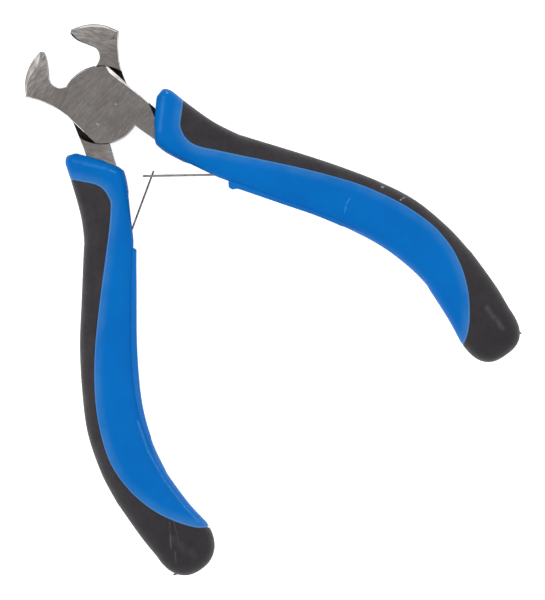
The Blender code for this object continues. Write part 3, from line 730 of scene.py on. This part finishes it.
# Sections from the collar's end to where the butt starts: (half height, squareness), and for each side
# (inner x, y, outer x, y). The two mouldings differ a little, as they do in wear and finish.
GRIP_FORM = [(4.7, 4.4), (5.15, 4.4), (5.32, 4.4), (5.4, 4.4), (5.3, 3.8), (5.0, 3.1), (4.9, 2.98),
             (4.85, 2.9), (4.8, 2.8), (4.8, 2.8), (4.9, 2.7), (5.0, 2.7), (5.1, 2.7), (5.13, 2.65),
             (5.15, 2.6), (5.15, 2.6), (5.1, 2.5)]
GRIP_EDGES = {
    "right": [
        (5.6, -10.4, 10.4, -4.8), (4.75, -11.6, 11.9, -4.45), (4.4, -12.4, 12.8, -5.2),
        (4.42, -13.2, 13.3, -6.35), (5.22, -15.6, 14.33, -9.92), (7.83, -20.6, 16.3, -15.5),
        (10.15, -24.9, 18.6, -19.9), (11.47, -26.95, 20.0, -21.9), (17.29, -35.7, 25.8, -29.4),
        (22.37, -42.85, 31.3, -36.8), (26.66, -50.0, 36.4, -44.45), (29.57, -56.05, 40.2, -51.8),
        (31.4, -62.0, 42.35, -59.65), (32.15, -66.4, 43.15, -65.6), (32.08, -68.5, 43.35, -68.2),
        (31.76, -75.0, 43.4, -75.2), (31.15, -80.1, 43.0, -80.1)],
    "left": [
        (5.4, -10.5, 10.2, -4.65), (4.5, -11.75, 11.6, -4.3), (4.1, -12.7, 12.55, -5.15),
        (4.03, -13.5, 13.05, -6.5), (4.92, -15.8, 14.16, -10.0), (7.5, -20.8, 16.2, -15.6),
        (9.8, -25.15, 18.5, -19.95), (11.12, -27.2, 20.0, -21.9), (17.29, -35.7, 25.8, -29.4),
        (22.37, -42.85, 31.4, -36.7), (26.69, -49.97, 36.35, -44.5), (29.36, -56.15, 40.2, -51.8),
        (30.97, -62.05, 42.55, -59.6), (31.7, -66.4, 43.4, -65.6), (31.92, -68.5, 43.52, -68.2),
        (31.78, -75.0, 43.53, -75.2), (31.1, -80.1, 43.2, -80.1)]}
GRIP = {side: [(*edges, *form) for edges, form in zip(GRIP_EDGES[side], GRIP_FORM)] for side in SIDES}
ROWS_PER_SPAN = [6, 6, 6, 56, 24, 12, 6, 14, 14, 14, 14, 14, 10, 6, 14, 28]
BUTT_TIP = {"right": Vector((37.05, -87.5)), "left": Vector((37.45, -87.2))}
BUTT_SQUARENESS = {"right": 2.7, "left": 2.3}

# Line where the soft black skin meets the blue core, seen from above, collar to butt
SKIN_LINE = {
    "right": [
        (15.2, -7.6), (14.0, -8.6), (12.8, -9.95), (11.6, -11.2), (10.6, -12.3), (10.1, -13.6),
        (9.95, -15.0), (10.3, -16.6), (11.45, -18.4), (13.25, -20.3), (16.6, -23.9), (21.2, -28.8),
        (25.5, -33.5), (29.4, -38.1), (33.1, -42.9), (36.1, -47.8), (38.4, -52.5), (40.1, -57.5),
        (40.65, -61.5), (40.5, -65.4), (39.6, -69.3), (38.1, -72.9), (36.2, -76.0), (34.3, -78.4),
        (32.4, -80.1), (30.4, -81.2)],
    "left": [
        (14.9, -7.6), (13.65, -8.6), (12.45, -9.85), (11.15, -11.15), (10.1, -12.4), (9.5, -13.7),
        (9.4, -15.1), (9.75, -16.9), (11.0, -18.65), (12.65, -20.63), (16.0, -24.28), (20.6, -29.18),
        (24.9, -33.88), (28.9, -38.48), (32.55, -43.28), (35.6, -48.08), (37.9, -52.78), (39.6, -57.6),
        (40.2, -61.5), (40.05, -65.6), (39.3, -69.3), (38.0, -72.9), (36.25, -76.0), (34.5, -78.4),
        (32.9, -80.1), (30.8, -81.4)]}
SKIN_DEPTH = 1.4
# Share of the half perimeter over which the skin thins to nothing
SKIN_TAPER = 0.12
MOULD_GAP = 0.06
# The small groove beside the seam
LIP_OFFSETS = [0.0, 0.04, 0.09, 0.15, 0.22]
LIP_DEPTH = 0.12
LIP_WIDTH = 0.22
COLUMNS = np.linspace(0, 1, 44)
HIDDEN_COLUMNS = 10
SECTION_SAMPLES = 400
# The collar's face: its direction, and the (inset, forward) steps of its rounded edge
COLLAR_AHEAD = Vector((-0.759, 0.651))
COLLAR_STEPS = ((0.55, 0.22), (0.3, 0.18), (0.1, 0.08))
# The butt's rows: dense up to a share of the way to the tip, then evenly spread in angle
BUTT_NEAR = 0.12
BUTT_END = 0.985


class Seam:
    """The line between skin and core, and distances to it, seen from above."""

    def __init__(self, side):
        self.side = side
        self.line = np.array(smooth(SKIN_LINE[side], 16))

    def offset(self, distance):
        """The line moved towards the blue by a distance."""
        ahead = np.gradient(self.line, axis=0)
        ahead /= np.linalg.norm(ahead, axis=1)[:, None]
        return self.line + np.stack([ahead[:, 1], -ahead[:, 0]], 1) * distance

    def distance(self, points):
        """Distance in mm from points (n, 2) to the line."""
        best = np.full(len(points), 1e9)
        for p, q in zip(self.line, np.diff(self.line, axis=0)):
            t = np.clip(((points - p) @ q) / (q @ q), 0, 1)
            best = np.minimum(best, np.linalg.norm(points - p - t[:, None] * q, axis=1))
        return best

    def groove(self, points):
        """How far the surface dips beside the line."""
        share = np.clip(self.distance(points) / LIP_WIDTH, 0, 1)
        return LIP_DEPTH * (1 - share) ** 2


class Row:
    """One cross-section of the grip, a superellipse between its inner and outer edge."""

    def __init__(self, seam, section, butt=None):
        self.seam = seam
        self.tip = BUTT_TIP[seam.side]
        self.inner = Vector(section[:2])
        self.outer = Vector(section[2:4])
        self.high, square = section[4:]
        self.butt = butt
        cos = np.cos(np.linspace(0, math.pi, SECTION_SAMPLES))
        sin = np.sin(np.linspace(0, math.pi, SECTION_SAMPLES))
        self.along = np.sign(cos) * np.abs(cos) ** (2 / square)
        self.up = np.abs(sin) ** (2 / square)
        _, half, tall = self.form(0.0)
        steps = np.hypot(np.diff(self.along * half.length), np.diff(self.up * tall))
        self.run = np.concatenate([[0], np.cumsum(steps)]) / max(steps.sum(), 1e-9)

    def form(self, depth):
        """Centre, half chord and half height of the section drawn in by a depth."""
        middle = (self.inner + self.outer) / 2
        half = (self.outer - self.inner) / 2
        unit = half.normalized()
        if self.butt is None:
            return middle, half - unit * depth, self.high - depth
        power = BUTT_SQUARENESS[self.seam.side]
        size = (1 - self.butt ** power) ** (1 / power)
        tip = self.tip + (middle - self.tip).normalized() * depth
        return middle.lerp(tip, self.butt), (half - unit * depth) * size, (self.high - depth) * size

    def crossing(self, offset):
        """Share of the half perimeter, from the outer edge, at which the offset seam crosses."""
        middle, half, _ = self.form(0.0)
        inner = np.array(middle - half)
        chord = np.array(half) * 2
        line = self.seam.offset(offset)
        side = chord[0] * (line[:, 1] - inner[1]) - chord[1] * (line[:, 0] - inner[0])
        crossings = np.nonzero(np.sign(side[:-1]) != np.sign(side[1:]))[0]
        if len(crossings) == 0:
            return 0.0 if inner[1] > -40 else 1.0
        shares = []
        for k in crossings:
            t = side[k] / (side[k] - side[k + 1])
            point = line[k] + (line[k + 1] - line[k]) * t
            shares.append(((point - inner) @ chord) / (chord @ chord))
        share = min(shares, key=lambda f: abs(f - 0.5))
        return float(np.interp(-np.clip(2 * share - 1, -1, 1), -self.along, self.run))

    def points(self, shares, depths):
        """Points of the upper half at shares of the half perimeter, drawn in by depths."""
        along = np.interp(shares, self.run, self.along)
        up = np.interp(shares, self.run, self.up)
        out = []
        for a, u, d in zip(along, up, depths):
            middle, half, tall = self.form(d)
            point = middle + half * a
            out.append((point.x, point.y, u * tall))
        return np.array(out)

    def surface(self, shares):
        plain = self.points(shares, np.zeros(len(shares)))
        return self.points(shares, self.seam.groove(plain[:, :2]))

    def runs(self):
        """Shares of blue's and of black's visible run, each from the seam. Columns away from
        the seam stay at fixed shares, so the surface keeps its form where the seam turns."""
        blue = np.maximum.accumulate([self.crossing(d) for d in LIP_OFFSETS])
        black = np.minimum.accumulate([self.crossing(-d) for d in LIP_OFFSETS])
        return (np.concatenate([blue, np.maximum(COLUMNS, blue[-1])]),
                np.concatenate([black, np.minimum(COLUMNS[::-1], black[-1])]))


def grip_rows(side):
    seam = Seam(side)
    rows = []
    for span, count in enumerate(ROWS_PER_SPAN):
        for k in range(count):
            rows.append(Row(seam, catmull(GRIP[side], span + k / count)))
    near = list(np.linspace(0, BUTT_NEAR, 16)[:-1])
    far = [math.sin(a) for a in np.linspace(math.asin(BUTT_NEAR), math.pi / 2 * BUTT_END, 22)]
    rows += [Row(seam, GRIP[side][-1], butt=t) for t in near + far]
    return rows


def both_halves(run):
    """Upper half points, then the lower half mirrored and reversed."""
    return np.concatenate([run, run[::-1] * np.array([1, 1, -1])])


def grid_solid(rings, skip=None, caps=()):
    """Faces between rings (rows x columns x 3, z about the middle), plus the given end caps."""
    bm = bmesh.new()
    rows = [[bm.verts.new((p[0] * MM, p[1] * MM, (p[2] + MID_Z) * MM)) for p in ring] for ring in rings]
    count = len(rows[0])
    for r in range(len(rows) - 1):
        for i in range(count):
            j = (i + 1) % count
            if skip is not None and skip(r, i):
                continue
            bm.faces.new((rows[r][i], rows[r][j], rows[r + 1][j], rows[r + 1][i]))
    for r, columns in caps:
        bm.faces.new([rows[r][i] for i in columns])
    bmesh.ops.remove_doubles(bm, verts=bm.verts, dist=2e-7)
    bmesh.ops.dissolve_degenerate(bm, edges=bm.edges, dist=1e-8)
    return mesh_of(bm, "grid")


def blue_blank(rows):
    """The whole blue core, which is drawn in where the black skin lies over it."""
    rings = []
    for row in rows:
        run, _ = row.runs()
        start = run[0]
        depth = (SKIN_DEPTH + MOULD_GAP) * min(1.0, start / SKIN_TAPER)
        shown = row.surface(run)
        if start >= 1.0:
            shown = row.points(np.ones(len(run)), np.full(len(run), SKIN_DEPTH + MOULD_GAP))
        hidden = row.points(np.linspace(start, 0.0, HIDDEN_COLUMNS), np.full(HIDDEN_COLUMNS, depth))
        rings.append(both_halves(np.concatenate([hidden[::-1], shown])))
    first = rows[0]
    shares = np.concatenate([np.zeros(HIDDEN_COLUMNS), first.runs()[0]])
    face = []
    for inset, forward in COLLAR_STEPS:
        ring = both_halves(first.points(shares, np.full(len(shares), inset)))
        ring[:, :2] += np.array(COLLAR_AHEAD) * forward
        face.append(ring)
    rings = face + rings
    everything = list(range(len(rings[0])))
    return grid_solid(rings, caps=((0, everything[::-1]), (len(rings) - 1, everything)))


def black_blank(rows):
    """The black skin, from its tip at the collar to the butt, which it covers all round."""
    rings = []
    full = []
    for before, row in zip(rows, rows[1:]):
        _, run = row.runs()
        start = run[0]
        if start <= 0.0 and not rings:
            continue
        if not rings:
            tip = before.surface(np.zeros(1))[0]
            rings.append(np.tile(tip, (2 * (len(run) + HIDDEN_COLUMNS), 1)))
            full.append(False)
        depth = SKIN_DEPTH * min(1.0, start / SKIN_TAPER)
        shown = row.surface(run)
        hidden = row.points(np.linspace(start, 0.0, HIDDEN_COLUMNS), np.full(HIDDEN_COLUMNS, depth))
        # Columns: shown from the upper seam round the edge to the lower seam, then hidden back again
        lower_hidden = hidden * np.array([1, 1, -1])
        rings.append(np.concatenate([both_halves(shown), lower_hidden, hidden[::-1]]))
        full.append(start >= 1.0)
    shown_count = len(run)
    wall_low = 2 * shown_count - 1
    wall_high = len(rings[0]) - 1

    def skip(r, i):
        return full[r] and full[r + 1] and i in (wall_low, wall_high)

    last = len(rings) - 1
    outer = list(range(2 * shown_count))
    inner = list(range(2 * shown_count, len(rings[0])))
    return grid_solid(rings, skip, caps=((last, outer), (last, inner)))


LEAF_THICKNESS = {"right": 0.42, "left": 0.34}
LEAF_WIDTH = 5.0
LEAF_GAP = 0.25
LEAF_TIP = Vector((-1.45, -16.3))
LEAF_BEND = Vector((13.9, -26.8))
LEAF_BEND_RADIUS = 2.0
LEAF_ROOT_DIRECTION = Vector((0.543, -0.840)).normalized()
LEAF_ROOT_LENGTH = 7.5
BLADE_DIRECTION = (LEAF_BEND - LEAF_TIP).normalized()
CROSSING = LEAF_BEND.x / BLADE_DIRECTION.x
BLADE_GROOVE = [(0.2, 0.3), (-3.0, 0.3), (-5.0, -0.7), (-8.5, -1.35), (-13.0, -1.75), (-16.0, -2.4),
                (-16.0, -5.0), (-0.6, -5.0), (-0.6, -0.75), (0.2, -0.65)]
ROOT_POCKET = [(-0.4, 0.5), (-0.4, -0.4), (LEAF_ROOT_LENGTH + 0.3, -0.4), (LEAF_ROOT_LENGTH + 0.3, 0.5)]

# Rib over the leaf's root: (distance down the grip's edge from its start, height)
RIB_START_Y = {"right": -27.25, "left": -27.15}
RIB_HALF_WIDTH = 3.1
RIB_ROOT = -1.2
RIB_CORNER = ((-0.16, 1.0), (-0.04, 0.985), (0.0, 0.94))
RIB_SAMPLES = 1200
RIB_HEIGHTS = {
    "right": [
        (0.0, -0.1), (0.36, 0.7), (0.65, 0.9), (1.23, 0.98), (1.65, 0.73), (2.14, 0.44), (3.0, 0.38),
        (6.5, 0.24), (10.0, 0.13), (24.0, 0.08), (31.0, -0.75)],
    "left": [
        (0.0, -0.1), (0.31, 0.27), (1.3, 0.27), (3.4, 0.28), (7.0, 0.37), (10.4, 0.41), (18.0, 0.5),
        (26.0, 0.52), (28.5, 0.44), (33.0, 0.27), (38.0, 0.1), (43.0, -0.75)]}


def beside_root(shape):
    to_tang = Vector((-LEAF_ROOT_DIRECTION.y, LEAF_ROOT_DIRECTION.x))
    return [tuple(LEAF_BEND + LEAF_ROOT_DIRECTION * a + to_tang * b) for a, b in shape]


def rib_mesh(side):
    """A bar with rounded edges along the grip's inner side, which sinks into the grip at its end."""
    knots = [row[:2] for row in GRIP[side]]
    edge = np.array([catmull(knots, u) for u in np.linspace(0, len(knots) - 1, RIB_SAMPLES)])
    run = np.concatenate([[0], np.cumsum(np.linalg.norm(np.diff(edge, axis=0), axis=1))])
    start = np.interp(-RIB_START_Y[side], -edge[:, 1], run)
    marks, heights = np.array(RIB_HEIGHTS[side]).T
    distances = np.union1d(marks, np.arange(2.6, marks[-1], 0.8))

    def at(distance):
        return np.stack([np.interp(start + distance, run, edge[:, k]) for k in (0, 1)], axis=1)

    along = at(distances + 0.4) - at(distances - 0.4)
    along /= np.linalg.norm(along, axis=1)[:, None]
    away = np.stack([along[:, 1], -along[:, 0]], axis=1)
    rings = []
    for spot, out_way, out in zip(at(distances), away, np.interp(distances, marks, heights)):
        upper = [(RIB_ROOT, 1.0)] + [(out + back, z) for back, z in RIB_CORNER]
        profile = [(o, -z) for o, z in upper] + upper[::-1]
        rings.append([(*(spot + out_way * o), MID_Z + z * RIB_HALF_WIDTH) for o, z in profile])
    return loft_mesh(rings)


# Moulding flash left on each butt: where it stands and its direction in degrees
FLASH = {"right": ((41.75, -85.0), -72.0), "left": ((41.85, -85.0), 9.0)}
FLASH_PROFILE = [(0, 0.95), (0.09, 0.86), (0.20, 0.45), (0.36, -0.05), (0.5, -0.8), (0, -0.8)]


def flash_nub(side):
    """A small torn point of rubber."""
    (x, y), direction = FLASH[side]
    nub = turned_mesh(FLASH_PROFILE, 20)
    point = Vector((math.cos(math.radians(direction)), math.sin(math.radians(direction)), 0))
    turn = point.to_track_quat("Z", "Y").to_matrix().to_4x4()
    nub.transform(Matrix.Translation(Vector((x, y, MID_Z)) * MM) @ turn)
    return nub


def add_seam_attribute(mesh, turn, seam):
    """Stores each vertex's distance from the seam, which the grip's colours read."""
    back = turn.inverted()
    co = np.array([back @ v.co for v in mesh.vertices]) / MM
    attribute = mesh.attributes.new("seam_mm", "FLOAT", "POINT")
    attribute.data.foreach_set("value", seam.distance(co[:, :2]).astype(np.float32))


# The rib's ledges, which are coloured lighter, lie this close to its half width and start above this y
LEDGE_REACH = 0.06
LEDGE_END_Y = -0.066


def make_grip(side):
    turn = place(side)
    rows = grip_rows(side)
    low = MID_Z - LEAF_WIDTH / 2 - LEAF_GAP
    high = MID_Z + LEAF_WIDTH / 2 + LEAF_GAP
    neck = prism_mesh(grown(lever_outline(side)[0], 0.05), -0.05, THICK + 0.05)
    core = combined(blue_blank(rows), [rib_mesh(side)], "UNION")
    rooms = [prism_mesh(beside_root(shape), low, high) for shape in (BLADE_GROOVE, ROOT_POCKET)]
    core = combined(core, [neck, loft_mesh(tang_rings(0.08)), *rooms], "DIFFERENCE")
    cleaned(core, 38.0)
    for face in core.polygons:
        height = abs(face.center.z / MM - MID_Z)
        on_ledge = abs(height - RIB_HALF_WIDTH) < LEDGE_REACH and abs(face.normal.z) > 0.5
        face.material_index = 1 if on_ledge and face.center.y > LEDGE_END_Y else 0
    core.transform(turn)
    add_seam_attribute(core, turn, rows[0].seam)
    add_piece("grip_blue_" + side, core, BODY[side], "grip_core_" + side, "grip_blue",
              blue_material(side), blue_material(side, ledge=True))

    skin = cleaned(combined(black_blank(rows), [flash_nub(side)], "UNION"), 38.0)
    skin.transform(turn)
    add_seam_attribute(skin, turn, rows[0].seam)
    add_piece("grip_black_" + side, skin, BODY[side], "grip_soft_" + side, "grip_black", black_material(side))


for side in SIDES:
    make_grip(side)

# ------------ springs

# Length along the blade and width of the slot, both about the crossing of the two leaves
SLOT = (1.4, 2.6)
# The tongue narrows from before the crossing to past it, and its head ends the blade
TONGUE_WIDTH = 2.1
TONGUE_SPAN = (1.1, 0.5)
TONGUE_HEAD_WIDTH = 3.8
TONGUE_HEAD_END = 1.1
TONGUE_CUT_END = 3.0
LEAF_CUT_DEPTH = 1.5
LEAF_EDGE_RADIUS = 0.1
FLEX_SHARE = 0.15


def leaf_box(from_bend, to_bend, low, high):
    middle = LEAF_BEND - BLADE_DIRECTION * (from_bend + to_bend) / 2
    turn = Matrix.Rotation(math.atan2(BLADE_DIRECTION.y, BLADE_DIRECTION.x), 4, "Z")
    where = Matrix.Translation((middle.x * MM, middle.y * MM, (low + high) / 2 * MM)) @ turn
    return box_mesh((abs(to_bend - from_bend), LEAF_CUT_DEPTH, high - low), where)


def leaf_mesh(length_past_bend, thickness):
    """Strip steel bent once, as a loft of sections with slightly rounded edges."""
    tip = LEAF_BEND - BLADE_DIRECTION * length_past_bend
    end = LEAF_BEND + LEAF_ROOT_DIRECTION * LEAF_ROOT_LENGTH
    bend = fillet(tip, LEAF_BEND, end, LEAF_BEND_RADIUS)
    blade = [tip.lerp(bend[0], t) for t in np.linspace(0, 1, 56)[:-1]]
    root = [bend[-1].lerp(end, t) for t in np.linspace(0, 1, 6)[1:]]
    path = blade + bend + root
    half = thickness / 2
    wide = LEAF_WIDTH / 2
    r = LEAF_EDGE_RADIUS
    profile = []
    for sx, sz, a0 in ((1, 1, 0), (-1, 1, 90), (-1, -1, 180), (1, -1, 270)):
        for a in (0, 30, 60, 90):
            t = math.radians(a0 + a)
            profile.append((sx * (half - r) + r * math.cos(t), sz * (wide - r) + r * math.sin(t)))
    rings = []
    for k, p in enumerate(path):
        ahead = (path[min(k + 1, len(path) - 1)] - path[max(k - 1, 0)]).normalized()
        normal = Vector((ahead.y, -ahead.x))
        rings.append([(*(p + normal * o), MID_Z + z) for o, z in profile])
    return loft_mesh(rings)


def make_leaf(side):
    turn = place(side)
    reach = (LEAF_BEND - LEAF_TIP).length if side == "right" else CROSSING + TONGUE_HEAD_END
    mesh = leaf_mesh(reach, LEAF_THICKNESS[side])
    if side == "right":
        cutters = [leaf_box(CROSSING - SLOT[0] / 2, CROSSING + SLOT[0] / 2,
                            MID_Z - SLOT[1] / 2, MID_Z + SLOT[1] / 2)]
    else:
        cutters = []
        for sign in (-1, 1):
            for start, stop, width in ((CROSSING - TONGUE_SPAN[0], CROSSING + TONGUE_SPAN[1], TONGUE_WIDTH),
                                       (CROSSING, CROSSING + TONGUE_CUT_END, TONGUE_HEAD_WIDTH)):
                edges = sorted((MID_Z + sign * width / 2, MID_Z + sign * LEAF_WIDTH))
                cutters.append(leaf_box(start, stop, *edges))
    mesh = cleaned(combined(mesh, cutters, "DIFFERENCE"), 40.0)
    mesh.transform(turn)
    obj = new_object("leaf_strip_" + side, mesh, SPRING[side])
    hinge = LEAF_BEND - BLADE_DIRECTION * CROSSING * FLEX_SHARE
    bent = BLADE_DIRECTION * 0.9 * CROSSING * FLEX_SHARE
    start, end = (turn @ Vector((*(spot * MM), MID_Z * MM)) for spot in (hinge + bent, hinge - bent))
    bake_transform(obj)
    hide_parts("leaf_spring_" + side)


for side in SIDES:
    make_leaf(side)
    pin = frame["nodes"]["spring_rivet_" + side]
    pin.data.materials.clear()
    pin.data.materials.append(SPRING[side])

# ------------ stage

def floor_material():
    s = Shader("studio_floor", Roughness=0.9, Specular_IOR_Level=0.1, Emission_Color=(1.0, 1.0, 1.0, 1.0),
               Emission_Strength=0.75)
    tone = s.noise(0.01, 2.0)
    return s.finish(Base_Color=s.mix(tone, (0.76, 0.76, 0.76), (0.78, 0.78, 0.78)))


FLOOR_SIZE = 3.0
FLOOR_GAP = 0.0001
floor_mesh = bpy.data.meshes.new("floor")
corners = ((-1, -1), (1, -1), (1, 1), (-1, 1))
floor_mesh.from_pydata([(x * FLOOR_SIZE / 2, y * FLOOR_SIZE / 2, 0) for x, y in corners], [], [(0, 1, 2, 3)])
floor = new_object("studio_floor", floor_mesh, floor_material())
floor.location = (0.0, -0.04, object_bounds()[0].z - FLOOR_GAP)

world = bpy.data.worlds.new("studio")
scene.world = world
world.use_nodes = True
world.node_tree.nodes["Background"].inputs["Color"].default_value = (1.0, 1.0, 1.0, 1.0)
world.node_tree.nodes["Background"].inputs["Strength"].default_value = 0.95


def softbox(name, where, aim, size, watts):
    light = bpy.data.lights.new(name, "AREA")
    light.shape = "RECTANGLE"
    light.size, light.size_y = size
    light.energy = watts
    obj = bpy.data.objects.new(name, light)
    obj.location = where
    obj.rotation_euler = (Vector(aim) - Vector(where)).to_track_quat("-Z", "Y").to_euler()
    scene.collection.objects.link(obj)


CENTRE = (0.0, -0.04, 0.004)
softbox("key_softbox", (-0.35, 0.25, 0.65), CENTRE, (0.5, 0.5), 1.9)
softbox("fill_softbox", (0.45, -0.15, 0.55), CENTRE, (0.6, 0.6), 1.0)

# ------------ camera

AIM = Vector((5.33, -51.5, 4.0)) * MM
VIEW_TURN = math.radians(-35.35)
camera_data = bpy.data.cameras.new("camera")
camera_data.lens = 600.0
camera_data.sensor_width = 36.0
camera = bpy.data.objects.new("camera", camera_data)
camera.location = AIM + Vector((0, 0, 2.0))
camera.rotation_euler = (0, 0, VIEW_TURN)
scene.collection.objects.link(camera)
scene.camera = camera
